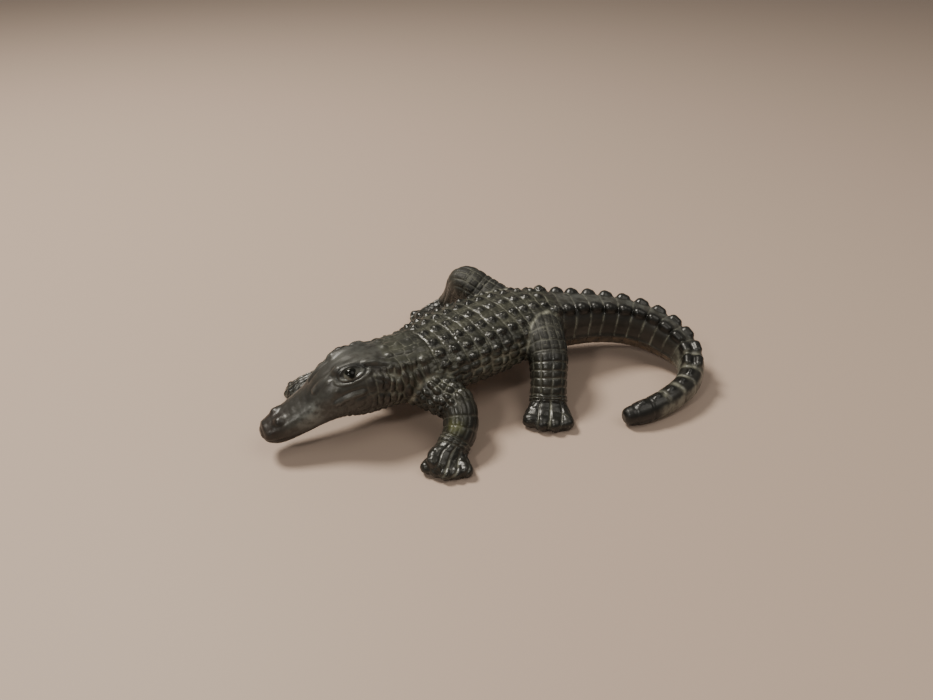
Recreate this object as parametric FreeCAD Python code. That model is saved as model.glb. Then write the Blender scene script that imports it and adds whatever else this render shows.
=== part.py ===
import FreeCAD, Part
import bisect
import math
import os

# Toy alligator, soft moulded vinyl, standing on four feet with its tail curled to its left.
# Millimetres.  +Z is up, the snout points to -X, the animal's left side is -Y.
# The origin is under the middle of the figure, on the surface that the soles stand on.

os.makedirs("parts", exist_ok=True)
V = FreeCAD.Vector
UP = V(0, 0, 1)

# Driving dimensions -------------------------------------------------------------------------
# Stations along the body: centre x, y, z, half-width, half-height, squareness of the section.
# An even squareness of 2 is an ellipse and a larger one is boxier.
HEAD = [
    (-38.94, 8.6, 4.9, 1.3, 1.0, 2.0),
    (-38.34, 8.45, 4.95, 2.3, 1.7, 2.1),
    (-36.44, 7.95, 5.2, 3.1, 2.3, 2.3),
    (-33.54, 7.25, 6.2, 3.5, 2.6, 2.5),
    (-29.54, 6.25, 8.0, 4.1, 3.3, 2.4),
    (-26.14, 5.35, 9.8, 5.3, 4.7, 2.2),
    (-22.54, 4.35, 10.6, 6.3, 5.7, 2.1),
    (-18.54, 3.65, 10.4, 6.2, 5.6, 2.1),
]
NECK = [
    (-15.04, 3.05, 10.2, 6.5, 5.5, 2.1),
    (-11.54, 2.65, 10.2, 7.1, 5.5, 2.1),
]
TRUNK = [
    (-7.54, 2.45, 10.2, 8.1, 5.6, 2.2),
    (-2.54, 2.35, 10.2, 9.1, 5.7, 2.2),
    (3.46, 2.15, 10.2, 9.3, 5.8, 2.2),
    (9.46, 1.85, 10.1, 8.7, 5.7, 2.2),
    (14.46, 0.95, 9.7, 7.4, 5.6, 2.3),
    (18.46, -0.35, 9.1, 6.1, 5.2, 2.4),
]
TAIL = [
    (22.06, -1.95, 8.6, 5.1, 5.0, 2.5),
    (27.46, -4.65, 8.0, 4.3, 4.7, 2.6),
    (32.46, -8.75, 7.3, 3.8, 4.4, 2.6),
    (35.26, -13.15, 6.5, 3.4, 4.2, 2.6),
    (36.16, -17.55, 5.7, 3.1, 3.8, 2.6),
    (35.66, -21.85, 4.9, 2.6, 3.2, 2.5),
    (33.36, -25.15, 4.1, 2.4, 2.7, 2.4),
    (29.46, -27.15, 3.4, 2.3, 2.4, 2.3),
    (24.86, -27.65, 3.1, 2.2, 2.4, 2.2),
    (20.46, -27.15, 2.6, 2.1, 2.3, 2.1),
    (17.16, -26.15, 2.2, 2.0, 2.1, 2.0),
    (15.36, -25.45, 2.0, 1.6, 1.7, 2.0),
]
SPINE = HEAD + NECK + TRUNK + TAIL

# First and last station of each length of the body; neighbours share the station between them.
SPANS = {
    "head": (0, 7),
    "neck": (7, 9),
    "trunk": (9, 15),
    "tail_root": (15, 17),
    "tail_base": (17, 19),
    "tail_bend": (19, 21),
    "tail_return": (21, 23),
    "tail_end": (23, 25),
    "tail_tip": (25, 27),
}

# Limb stations run from inside the body to the front of the foot.
# "joint" and "ankle" are the stations where the upper limb and the foot begin and end.
LIMBS = {
    "left_front": {
        "stations": [
            (-12.54, -0.55, 8.4, 4.0, 4.0),
            (-11.54, -5.05, 7.8, 3.4, 3.4),
            (-10.74, -8.8, 6.8, 3.1, 3.1),
            (-12.24, -11.35, 4.4, 2.9, 2.9),
            (-14.94, -12.55, 2.5, 2.8, 2.5),
            (-16.64, -13.65, 1.6, 3.8, 2.1),
            (-18.04, -14.95, 1.2, 3.9, 1.6),
        ],
        "joint": 2, "ankle": 4, "toes": 5, "toe_radius": 1.45, "toe_length": 1.0, "splay": 64,
    },
    "right_front": {
        "stations": [
            (-11.54, 5.45, 8.6, 3.6, 3.6),
            (-14.54, 10.25, 7.2, 3.1, 3.1),
            (-18.14, 14.75, 4.8, 2.7, 2.7),
            (-22.54, 17.95, 2.8, 2.4, 2.3),
            (-25.44, 19.25, 1.9, 2.9, 2.1),
            (-27.54, 20.05, 1.2, 2.8, 1.6),
        ],
        "joint": 1, "ankle": 3, "toes": 5, "toe_radius": 1.1, "toe_length": 1.0, "splay": 64,
    },
    "left_hind": {
        "stations": [
            (13.96, -3.05, 9.5, 4.2, 4.2),
            (11.66, -6.65, 10.4, 3.9, 3.9),
            (9.86, -9.75, 8.6, 3.6, 3.6),
            (8.06, -11.95, 5.8, 3.3, 3.3),
            (6.26, -13.95, 2.6, 3.4, 2.7),
            (4.86, -15.55, 1.6, 4.2, 2.1),
            (3.36, -17.05, 1.2, 4.2, 1.6),
        ],
        "joint": 2, "ankle": 4, "toes": 4, "toe_radius": 1.65, "toe_length": 1.0, "splay": 50,
    },
    "right_hind": {
        "stations": [
            (14.46, 6.45, 9.4, 4.0, 4.0),
            (12.26, 12.05, 12.0, 3.6, 3.6),
            (10.86, 15.65, 13.4, 3.3, 3.3),
            (11.96, 19.45, 9.2, 2.8, 2.8),
            (13.06, 22.65, 5.4, 2.6, 2.6),
            (12.66, 24.65, 3.0, 2.4, 2.4),
            (9.46, 25.95, 1.7, 2.6, 2.1),
            (6.46, 26.65, 1.1, 2.8, 1.5),
        ],
        "joint": 2, "ankle": 5, "toes": 4, "toe_radius": 1.15, "toe_length": 1.0, "splay": 50,
    },
}

BELLY_TOP = 6.3            # height of the colour line between the dark flanks and the pale belly
MOUTH_FRONT = (-39.24, 4.3)  # x and z of the mouth line at the snout
MOUTH_BACK = (-18.54, 7.8)   # x and z of the mouth line at the jaw hinge

EYE_STATION = 5.75         # place along SPINE, counted in stations
EYE_ANGLE = 36             # degrees from straight up, towards each side
EYE_RADIUS = 1.35
EYE_SINK = 0.75            # depth of the eyeball's centre under the skin
BROW_RADIUS = 1.0
BROW_FRONT = (-0.3, -15, 0.2)   # front end of the brow: stations and degrees from the eye, depth
BROW_BACK = (0.7, -12, 0.3)     # and its back end
BROW_REACH = 0.8           # how far the brow goes past both ends, against its radius
NOSTRIL_STATION = 2.35
NOSTRIL_ANGLE = 24
NOSTRIL_RADIUS = 0.85
NOSTRIL_SINK = 0.35

TOE_HEIGHT = 0.88          # height of a toe's axis against its radius
TOE_OVERLAP = 0.8          # how far the outer toes stay inside the foot, against their radius
TOE_STEP_BACK = 0.7        # how far the outer toes start behind the middle ones, against their radius
TOE_TAPER = 0.82

BACK_PITCH = 2.53          # length of one ring of scales on the neck and back
TAIL_PITCH = 3.25          # and on the tail
NAPE_START = 23.9          # distance along the body from the snout to the first neck scutes
NAPE_RINGS = 3
NAPE_ANGLES = (-42, -21, 0, 21, 42)
NAPE_SCUTE = (2.3, 2.3, 0.5)   # length and width at the root of a neck scute, and its height
BACK_START = 31.5          # distance along the body from the snout to the first back scutes
BACK_RINGS = 11
BACK_ANGLES = (-63, -42, -21, 0, 21, 42, 63)   # degrees from straight up of the scutes in one ring
SCUTE = (2.3, 2.3, 0.75)   # length and width at the root of a back scute, and its height
TAIL_START = 59.1          # distance along the body from the snout to the first crest scutes
CREST_PAIRS = 12           # scutes in each of the two crest rows on the front of the tail
CREST_SINGLES = 5          # scutes in the single row behind them
CREST = (2.9, 2.4, 1.45)   # length and width at the root of the first crest scute, and its height
CREST_SHRINK = 0.55        # size of the last crest scute against the first
CREST_ANGLES = (36, 20)    # degrees from straight up of the crest rows where they begin and end
CREST_UPRIGHT = 0.6        # pull of the crest scutes towards straight up
RIDGE_FRONT = 0.12         # front end of a scute's ridge, ahead of its middle, against its length
RIDGE_BACK = 0.30          # and its back end, behind the middle

SECTION_POINTS = 16
LIMB_SQUARENESS = 2.1
ROOT_DEPTH = 0.5           # how far scutes and ridges reach under the skin before they are trimmed
TINY = 0.01                # step in stations for taking a direction along a curve
SLIVER = 0.02              # cubic millimetres; smaller trimmings are thrown away


# Curves and sections ------------------------------------------------------------------------
def blend(stations, t):
    """Catmull-Rom value of a station table at place t, counted in stations."""
    last = len(stations) - 1
    i = min(int(t), last - 1)
    u = t - i
    p0 = stations[max(i - 1, 0)]
    p1 = stations[i]
    p2 = stations[i + 1]
    p3 = stations[min(i + 2, last)]
    values = []
    for a, b, c, d in zip(p0, p1, p2, p3):
        cubic = (-a + 3 * b - 3 * c + d) * u ** 3
        square = (2 * a - 5 * b + 4 * c - d) * u ** 2
        values.append(0.5 * (2 * b + (c - a) * u + square + cubic))
    return values


def tangent(stations, t):
    low = blend(stations, max(t - TINY, 0))
    high = blend(stations, min(t + TINY, len(stations) - 1))
    return V(high[0] - low[0], high[1] - low[1], high[2] - low[2]).normalize()


def distances(steps=40):
    """Distance along the body at every small step between stations."""
    table = [0.0]
    before = V(*SPINE[0][:3])
    for k in range(1, (len(SPINE) - 1) * steps + 1):
        here = V(*blend(SPINE, k / steps)[:3])
        table.append(table[-1] + (here - before).Length)
        before = here
    return table, steps


DISTANCES, STEPS = distances()


def station_at(distance):
    """Place in stations that lies this far along the body from the snout."""
    k = bisect.bisect_left(DISTANCES, distance)
    part = (distance - DISTANCES[k - 1]) / (DISTANCES[k] - DISTANCES[k - 1])
    return (k - 1 + part) / STEPS


def body_frame(t):
    """Along, side and up directions of the body at station t; side points to the animal's right."""
    along = tangent(SPINE, t)
    side = UP.cross(along).normalize()
    return along, side, along.cross(side)


def skin_point(t, degrees_from_top, depth=0.0):
    """Point on the body at station t, and the outward direction there."""
    x, y, z, half_width, half_height, power = blend(SPINE, t)
    along, side, up = body_frame(t)
    angle = math.radians(degrees_from_top)
    reach_side = abs(math.sin(angle)) ** (2 / power) * half_width
    reach_up = abs(math.cos(angle)) ** (2 / power) * half_height
    point = V(x, y, z) + side * math.copysign(reach_side, degrees_from_top) + up * reach_up
    outward = side * (math.sin(angle) / half_width) + up * (math.cos(angle) / half_height)
    outward.normalize()
    return point - outward * depth, outward


def section(centre, side, up, half_width, half_height, power):
    """Closed wire of a rounded section."""
    points = []
    for k in range(SECTION_POINTS):
        angle = 2 * math.pi * k / SECTION_POINTS
        across = math.copysign(abs(math.cos(angle)) ** (2 / power), math.cos(angle))
        height = math.copysign(abs(math.sin(angle)) ** (2 / power), math.sin(angle))
        points.append(centre + side * (across * half_width) + up * (height * half_height))
    curve = Part.BSplineCurve()
    curve.interpolate(Points=points, PeriodicFlag=True)
    return Part.Wire([curve.toShape()])


def body_length(first, last):
    """Closed solid of the body between two stations."""
    wires = []
    for k in range(2 * (last - first) + 1):
        t = first + k / 2
        x, y, z, half_width, half_height, power = blend(SPINE, t)
        along, side, up = body_frame(t)
        wires.append(section(V(x, y, z), side, up, half_width, half_height, power))
    return Part.makeLoft(wires, True, False)


def limb_sections(stations):
    """Section wires of a limb, two to a station; their frames are carried along without twist."""
    wires = []
    side = UP.cross(tangent(stations, 0)).normalize()
    for k in range(2 * len(stations) - 1):
        t = k / 2
        x, y, z, half_width, half_height = blend(stations, t)
        along = tangent(stations, t)
        side = (side - along * side.dot(along)).normalize()
        up = along.cross(side)
        wires.append(section(V(x, y, z), side, up, half_width, half_height, LIMB_SQUARENESS))
    return wires


def below(height):
    """Block wider than the figure, with its top at this height."""
    return Part.makeBox(120, 120, 40, V(-60, -60, height - 40))


# Small features -----------------------------------------------------------------------------
def keeled_scute(foot, along, outward, length, width, height):
    """Hip-roofed scale: a rectangle on the skin that rises to a short ridge along the body."""
    across = outward.cross(along).normalize()
    forward = across.cross(outward)
    base = []
    for u, v in ((-1, -1), (1, -1), (1, 1), (-1, 1)):
        base.append(foot + forward * (u * length / 2) + across * (v * width / 2)
                    - outward * ROOT_DEPTH)
    ridge_front = foot - forward * (length * RIDGE_FRONT) + outward * height
    ridge_back = foot + forward * (length * RIDGE_BACK) + outward * height
    loops = [
        [base[0], base[3], base[2], base[1]],
        [base[0], base[1], ridge_back, ridge_front],
        [base[2], base[3], ridge_front, ridge_back],
        [base[1], base[2], ridge_back],
        [base[3], base[0], ridge_front],
    ]
    faces = [Part.Face(Part.makePolygon(loop + [loop[0]])) for loop in loops]
    solid = Part.makeSolid(Part.makeShell(faces))
    if solid.Volume < 0:
        solid.reverse()
    return solid


def capsule(start, end, radius_start, radius_end):
    """Tapered rod with round ends, turned about its own axis from an outline on its underside."""
    along = (end - start).normalize()
    under = (along * along.z - UP).normalize()
    lean = math.asin((radius_start - radius_end) / (end - start).Length)

    def rim(centre, radius, angle):
        return centre + under * (radius * math.cos(angle)) + along * (radius * math.sin(angle))

    quarter = math.pi / 2
    back = rim(start, radius_start, -quarter)
    low = rim(start, radius_start, lean)
    high = rim(end, radius_end, lean)
    front = rim(end, radius_end, quarter)
    outline = [
        Part.Arc(back, rim(start, radius_start, (lean - quarter) / 2), low).toShape(),
        Part.makeLine(low, high),
        Part.Arc(high, rim(end, radius_end, (lean + quarter) / 2), front).toShape(),
        Part.makeLine(front, back),
    ]
    rod = Part.Face(Part.Wire(outline)).revolve(start, along, 360)
    if rod.Volume < 0:
        rod.reverse()
    return rod


def ridge(start, end, radius, reach):
    """Ellipsoid along the line from start to end that goes past both by the reach."""
    stretch = FreeCAD.Matrix()
    stretch.scale(V((end - start).Length / 2 + reach, radius, radius))
    lump = Part.makeSphere(1).transformGeometry(stretch)
    lump.Placement = FreeCAD.Placement((start + end) / 2, FreeCAD.Rotation(V(1, 0, 0), end - start))
    return lump


def scute_row(t, angles, size):
    """Scutes side by side across the body at station t."""
    scutes = []
    for degrees in angles:
        foot, outward = skin_point(t, degrees)
        scutes.append(keeled_scute(foot, body_frame(t)[0], outward, *size))
    return scutes


def crest_scute(distance, degrees):
    """One scute of the tail crest; the scutes get smaller towards the tip and lean upright."""
    t = station_at(distance)
    done = (distance - TAIL_START) / (TAIL_PITCH * (CREST_PAIRS + CREST_SINGLES - 1))
    scale = 1 - (1 - CREST_SHRINK) * done
    foot, outward = skin_point(t, degrees)
    upright = (outward + UP * CREST_UPRIGHT).normalize()
    return keeled_scute(foot, body_frame(t)[0], upright, *[value * scale for value in CREST])


def trimmed_group(scutes, others):
    """Scutes as separate solids, each without what lies inside the other solids."""
    kept = []
    for scute in scutes:
        for other in others:
            if scute.Volume > SLIVER and scute.BoundBox.intersect(other.BoundBox):
                scute = scute.cut(other)
        kept += [solid for solid in scute.Solids if solid.Volume > SLIVER]
    return Part.makeCompound(kept)


def largest(shape):
    """The main solid, without the slivers that a trim can leave."""
    return max(shape.Solids, key=lambda solid: solid.Volume)


# Body ---------------------------------------------------------------------------------------
nodes = {}
whole = {}
for name, (first, last) in SPANS.items():
    whole[name] = body_length(first, last)

slope = math.atan2(MOUTH_BACK[1] - MOUTH_FRONT[1], MOUTH_BACK[0] - MOUTH_FRONT[0])
under_mouth = Part.makeBox(60, 60, 30, V(-20, -30, -30))
under_mouth.rotate(V(0, 0, 0), V(0, 1, 0), -math.degrees(slope))
under_mouth.translate(V(MOUTH_FRONT[0], 0, MOUTH_FRONT[1]))
nodes["skull"] = whole["head"].cut(under_mouth)
nodes["lower_jaw"] = whole["head"].common(under_mouth)

nodes["neck"] = whole["neck"].cut(below(BELLY_TOP))
nodes["throat"] = whole["neck"].common(below(BELLY_TOP))
nodes["trunk"] = whole["trunk"].cut(below(BELLY_TOP))
nodes["belly"] = whole["trunk"].common(below(BELLY_TOP))
for name in SPANS:
    if name.startswith("tail"):
        nodes[name] = whole[name]

# Eyes, brows and nostrils -------------------------------------------------------------------
for name, sign in (("left", -1), ("right", 1)):
    eye_centre = skin_point(EYE_STATION, sign * EYE_ANGLE, EYE_SINK)[0]
    ends = []
    for stations, degrees, depth in (BROW_FRONT, BROW_BACK):
        ends.append(skin_point(EYE_STATION + stations, sign * (EYE_ANGLE + degrees), depth)[0])
    brow = ridge(*ends, BROW_RADIUS, BROW_RADIUS * BROW_REACH).cut(nodes["skull"])
    eye = Part.makeSphere(EYE_RADIUS, eye_centre).cut(nodes["skull"]).cut(brow)
    nodes[name + "_brow"] = largest(brow)
    nodes[name + "_eye"] = largest(eye)
    nostril_centre = skin_point(NOSTRIL_STATION, sign * NOSTRIL_ANGLE, NOSTRIL_SINK)[0]
    nostril = Part.makeSphere(NOSTRIL_RADIUS, nostril_centre).cut(nodes["skull"])
    nodes[name + "_nostril"] = largest(nostril)

# Limbs --------------------------------------------------------------------------------------
for name, limb in LIMBS.items():
    stations = limb["stations"]
    wires = limb_sections(stations)
    joint = 2 * limb["joint"]
    ankle = 2 * limb["ankle"]
    upper = Part.makeLoft(wires[:joint + 1], True, False)
    upper = upper.cut(whole["trunk"]).cut(whole["neck"])
    lower = Part.makeLoft(wires[joint:ankle + 1], True, False).cut(below(0))
    foot = Part.makeLoft(wires[ankle:], True, False).cut(below(0))

    toe_root = V(*stations[-1][:3])
    radius = limb["toe_radius"]
    toe_root.z = radius * TOE_HEIGHT
    heading = tangent(stations, len(stations) - 1)
    heading.z = 0
    heading.normalize()
    across = UP.cross(heading)
    reach = stations[-1][3] - radius * TOE_OVERLAP
    toes = []
    for k in range(limb["toes"]):
        place = 2 * k / (limb["toes"] - 1) - 1
        angle = math.radians(place * limb["splay"] / 2)
        pointing = heading * math.cos(angle) + across * math.sin(angle)
        step_back = heading * (abs(place) * radius * TOE_STEP_BACK)
        start = toe_root + across * (place * reach) - step_back
        end = start + pointing * limb["toe_length"]
        toe = capsule(start, end, radius, radius * TOE_TAPER)
        for other in [below(0), foot, lower] + toes:
            toe = toe.cut(other)
        toes.append(largest(toe))
    nodes[name + "_upper_leg"] = largest(upper)
    nodes[name + "_lower_leg"] = lower
    nodes[name + "_foot"] = foot
    nodes[name + "_toes"] = Part.makeCompound(toes)

under_scutes = list(whole.values())
under_scutes += [nodes[name + "_upper_leg"] for name in LIMBS]

# Scutes -------------------------------------------------------------------------------------
for k in range(BACK_RINGS):
    ring = scute_row(station_at(BACK_START + k * BACK_PITCH), BACK_ANGLES, SCUTE)
    nodes["back_scutes_%d" % (k + 1)] = trimmed_group(ring, under_scutes)

nape = []
for k in range(NAPE_RINGS):
    nape += scute_row(station_at(NAPE_START + k * BACK_PITCH), NAPE_ANGLES, NAPE_SCUTE)
nodes["nape_scutes"] = trimmed_group(nape, under_scutes)

for name, sign in (("left", -1), ("right", 1)):
    crest = []
    for k in range(CREST_PAIRS):
        spacing = CREST_ANGLES[0] + (CREST_ANGLES[1] - CREST_ANGLES[0]) * k / CREST_PAIRS
        crest.append(crest_scute(TAIL_START + k * TAIL_PITCH, sign * spacing))
    nodes["tail_crest_" + name] = trimmed_group(crest, under_scutes)

crest = []
for k in range(CREST_PAIRS, CREST_PAIRS + CREST_SINGLES):
    crest.append(crest_scute(TAIL_START + k * TAIL_PITCH, 0))
nodes["tail_crest_end"] = trimmed_group(crest, under_scutes)

# Output -------------------------------------------------------------------------------------
box = FreeCAD.BoundBox()
for name, shape in nodes.items():
    box.add(shape.BoundBox)
    print("%-24s solids %2d  valid %s  volume %8.2f" % (
        name, len(shape.Solids), shape.isValid(), shape.Volume))
    shape.exportStep("parts/%s.step" % name)
print("nodes", len(nodes))
print("box", [round(v, 2) for v in (box.XMin, box.XMax, box.YMin, box.YMax, box.ZMin, box.ZMax)])
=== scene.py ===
import bpy
import math
import numpy as np
import openvdb as vdb
from mathutils import Matrix, Vector


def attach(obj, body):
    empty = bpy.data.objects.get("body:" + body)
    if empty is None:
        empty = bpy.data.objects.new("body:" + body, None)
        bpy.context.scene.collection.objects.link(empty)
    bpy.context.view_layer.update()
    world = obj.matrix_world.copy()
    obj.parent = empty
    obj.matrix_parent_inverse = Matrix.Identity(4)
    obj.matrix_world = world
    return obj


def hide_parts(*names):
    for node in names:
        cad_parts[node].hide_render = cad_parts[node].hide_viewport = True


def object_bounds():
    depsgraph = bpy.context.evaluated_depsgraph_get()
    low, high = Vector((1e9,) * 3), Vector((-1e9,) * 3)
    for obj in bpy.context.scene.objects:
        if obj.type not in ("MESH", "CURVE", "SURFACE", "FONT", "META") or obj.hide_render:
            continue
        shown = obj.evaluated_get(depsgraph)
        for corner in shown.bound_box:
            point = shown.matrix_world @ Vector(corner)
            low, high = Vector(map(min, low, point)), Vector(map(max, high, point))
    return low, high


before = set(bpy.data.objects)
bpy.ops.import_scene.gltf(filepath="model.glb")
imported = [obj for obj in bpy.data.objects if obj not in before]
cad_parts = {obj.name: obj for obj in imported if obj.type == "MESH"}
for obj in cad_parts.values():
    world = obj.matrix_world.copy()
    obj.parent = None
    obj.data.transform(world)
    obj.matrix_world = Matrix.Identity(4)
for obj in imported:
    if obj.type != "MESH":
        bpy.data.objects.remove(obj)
cad_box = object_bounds()

# The figure's stations, in millimetres, in the frame's own axes: the same tables
# as the part's design. Centre x, y, z, half-width, half-height, squareness of the section.
SPINE = [
    (-38.94, 8.6, 4.9, 1.3, 1.0, 2.0),
    (-38.34, 8.45, 4.95, 2.3, 1.7, 2.1),
    (-36.44, 7.95, 5.2, 3.1, 2.3, 2.3),
    (-33.54, 7.25, 6.2, 3.5, 2.6, 2.5),
    (-29.54, 6.25, 8.0, 4.1, 3.3, 2.4),
    (-26.14, 5.35, 9.8, 5.3, 4.7, 2.2),
    (-22.54, 4.35, 10.6, 6.3, 5.7, 2.1),
    (-18.54, 3.65, 10.4, 6.2, 5.6, 2.1),
    (-15.04, 3.05, 10.2, 6.5, 5.5, 2.1),
    (-11.54, 2.65, 10.2, 7.1, 5.5, 2.1),
    (-7.54, 2.45, 10.2, 8.1, 5.6, 2.2),
    (-2.54, 2.35, 10.2, 9.1, 5.7, 2.2),
    (3.46, 2.15, 10.2, 9.3, 5.8, 2.2),
    (9.46, 1.85, 10.1, 8.7, 5.7, 2.2),
    (14.46, 0.95, 9.7, 7.4, 5.6, 2.3),
    (18.46, -0.35, 9.1, 6.1, 5.2, 2.4),
    (22.06, -1.95, 8.6, 5.1, 5.0, 2.5),
    (27.46, -4.65, 8.0, 4.3, 4.7, 2.6),
    (32.46, -8.75, 7.3, 3.8, 4.4, 2.6),
    (35.26, -13.15, 6.5, 3.4, 4.2, 2.6),
    (36.16, -17.55, 5.7, 3.1, 3.8, 2.6),
    (35.66, -21.85, 4.9, 2.6, 3.2, 2.5),
    (33.36, -25.15, 4.1, 2.4, 2.7, 2.4),
    (29.46, -27.15, 3.4, 2.3, 2.4, 2.3),
    (24.86, -27.65, 3.1, 2.2, 2.4, 2.2),
    (20.46, -27.15, 2.6, 2.1, 2.3, 2.1),
    (17.16, -26.15, 2.2, 2.0, 2.1, 2.0),
    (15.36, -25.45, 2.0, 1.6, 1.7, 2.0),
]
SPANS = {
    "head": (0, 7),
    "neck": (7, 9),
    "trunk": (9, 15),
    "tail_root": (15, 17),
    "tail_base": (17, 19),
    "tail_bend": (19, 21),
    "tail_return": (21, 23),
    "tail_end": (23, 25),
    "tail_tip": (25, 27),
}

# Each limb: which stations are its joint and its ankle, its toes, and the degrees they fan over.
LIMBS = {
    "left_front": dict(joint=2, ankle=4, toes=5, toe_radius=1.45, splay=64, stations=[
        (-12.54, -0.55, 8.4, 4.0, 4.0),
        (-11.54, -5.05, 7.8, 3.4, 3.4),
        (-10.74, -8.8, 6.8, 3.1, 3.1),
        (-12.24, -11.35, 4.4, 2.9, 2.9),
        (-14.94, -12.55, 2.5, 2.8, 2.5),
        (-16.64, -13.65, 1.6, 3.8, 2.1),
        (-18.04, -14.95, 1.2, 3.9, 1.6),
    ]),
    "right_front": dict(joint=1, ankle=3, toes=5, toe_radius=1.1, splay=64, stations=[
        (-11.54, 5.45, 8.6, 3.6, 3.6),
        (-14.54, 10.25, 7.2, 3.1, 3.1),
        (-18.14, 14.75, 4.8, 2.7, 2.7),
        (-22.54, 17.95, 2.8, 2.4, 2.3),
        (-25.44, 19.25, 1.9, 2.9, 2.1),
        (-27.54, 20.05, 1.2, 2.8, 1.6),
    ]),
    "left_hind": dict(joint=2, ankle=4, toes=4, toe_radius=1.65, splay=50, stations=[
        (13.96, -3.05, 9.5, 4.2, 4.2),
        (11.66, -6.65, 10.4, 3.9, 3.9),
        (9.86, -9.75, 8.6, 3.6, 3.6),
        (8.06, -11.95, 5.8, 3.3, 3.3),
        (6.26, -13.95, 2.6, 3.4, 2.7),
        (4.86, -15.55, 1.6, 4.2, 2.1),
        (3.36, -17.05, 1.2, 4.2, 1.6),
    ]),
    "right_hind": dict(joint=2, ankle=5, toes=4, toe_radius=1.15, splay=50, stations=[
        (14.46, 6.45, 9.4, 4.0, 4.0),
        (12.26, 12.05, 12.0, 3.6, 3.6),
        (10.86, 15.65, 13.4, 3.3, 3.3),
        (11.96, 19.45, 9.2, 2.8, 2.8),
        (13.06, 22.65, 5.4, 2.6, 2.6),
        (12.66, 24.65, 3.0, 2.4, 2.4),
        (9.46, 25.95, 1.7, 2.6, 2.1),
        (6.46, 26.65, 1.1, 2.8, 1.5),
    ]),
}
LIMB_POWER = 2.1  # squareness of the limbs
# How far the end domes of a tube stand out, as shares of its end's smaller half-size.
SPINE_DOMES = (0.25, 0.8)
LIMB_DOMES = (0.8, 0.8)
DOME_RISES = (0.35, 0.65, 0.88)
# How far the joins between volumes are filleted, millimetres.
SPINE_FILLET = 0.1
LIMB_FILLET = 1.4
TOE_FILLET = 0.35
# How far a toe reaches out of the foot and back into it, millimetres.
TOE_LENGTH = 1.0
TOE_ROOT = 1.2
# The rest of a toe, as shares of its radius.
TOE_HEIGHT = 0.88
TOE_OVERLAP = 0.8
TOE_STEP_BACK = 0.7
TOE_TAPER = (0.95, 0.82)

MM = 0.001
VOXEL = 0.14  # size of a grid cell of the sculpted skin
BAND = 1.4  # how far from the skin the grid knows its distance
GRID_MARGIN = 2.5  # room in the grid round the CAD model
STEPS = 20  # samples of a tube between two stations
RING_POINTS = 48
BLOCK = 20000  # points placed on a tube at a time
SHELL = 0.2  # thickness of the skin pieces, millimetres
SOLE_FADE = (0.15, 0.9)  # heights over which the relief fades in above the soles
LIMB_BLEND = 0.6  # half the width of the change from body to limb
SPECK = 1.5  # largest stray patch of skin, square millimetres
PINCH_ROUNDS = 12  # most passes over corners where a piece touches itself

BELLY_TOP = 6.3
MOUTH_FRONT = (-39.24, 4.3)
MOUTH_BACK = (-18.54, 7.8)
MOUTH_SLOPE = (MOUTH_BACK[1] - MOUTH_FRONT[1]) / (MOUTH_BACK[0] - MOUTH_FRONT[0])
EYE_STATION = 5.75
EYE_ANGLE = 36
EYE_RADIUS = 1.35
EYE_SINK = 0.75
PUPIL_EDGE = (0.60, 0.74)  # where the pupil ends, as shares of the eye's radius
PUPIL_CORNERS = 0.18  # how three-cornered it is
# The brow's ends: stations and degrees from the eye, and how deep they lie in the skin.
BROW_FRONT = (-0.3, -15, 0.2)
BROW_BACK = (0.7, -12, 0.3)
BROW_RADII = (0.95, 0.76)
BROW_FILLET = 0.8
NOSTRIL_STATION = 2.35
NOSTRIL_ANGLE = 24
NOSTRIL_SINK = 0.35
NOSTRIL_LENGTH = 0.5
NOSTRIL_RADII = (0.85, 0.8)
NOSTRIL_FILLET = 0.6

BACK_PITCH = 2.53
TAIL_PITCH = 3.25
NAPE_START = 23.9
NAPE_RINGS = 3
BACK_START = 31.5
BACK_RINGS = 11
COLUMN = 21.0  # degrees between the columns of back scutes
BACK_COLUMNS = [COLUMN * k for k in range(-3, 4)]
TAIL_START = 59.1
CREST_PAIRS = 12
CREST_SINGLES = 5
CREST_ANGLES = (36, 20)
CREST_SHRINK = 0.55  # size of the last crest scute against the first
CREST_NOTCH = 0.15  # half the gap between one crest scute and the next
CREST_UPRIGHT = 0.6  # how far the paired crest scutes lean to straight up
KEEL_ANGLE = 102.0  # degrees from the top to the ridge low on the tail's sides
# The raised scutes: radius, rise above the skin and fillet; then half-length where it is fixed.
NAPE_KNOB = (0.8, 0.34, 0.6, 0.5)
BACK_KNOB = (0.72, 0.58, 0.45, 0.12)
CREST_KNOB = (1.3, 1.2, 0.4)
CREST_END_KNOB = (0.85, 0.75, 0.4, 0.5)
NAPE_DARKNESS = 0.3  # how dark the nape's scutes are against the others
KNOB_TAPER = 0.92
KNOB_DIP = 0.12  # how far a scute's rear end drops, millimetres
KNOB_PATCH = 0.15  # skin this close to a raised feature belongs to it
KNOB_REACH = 1.35  # but no further than this from its middle
KNOB_WINDOW = 4.0  # only skin this close to a feature is measured from it
TOE_PATCH = 0.3  # the same for the toes
CREASE_WIDTH = 0.36  # crease where a limb meets the body

# Where one pattern gives way to the next, in degrees from the top.
BACK_EDGE = (64, 74)
FLANK_EDGE = (118, 128)
NECK_TOP_EDGE = (38, 50)
NECK_LOW_EDGE = (125, 135)

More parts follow.
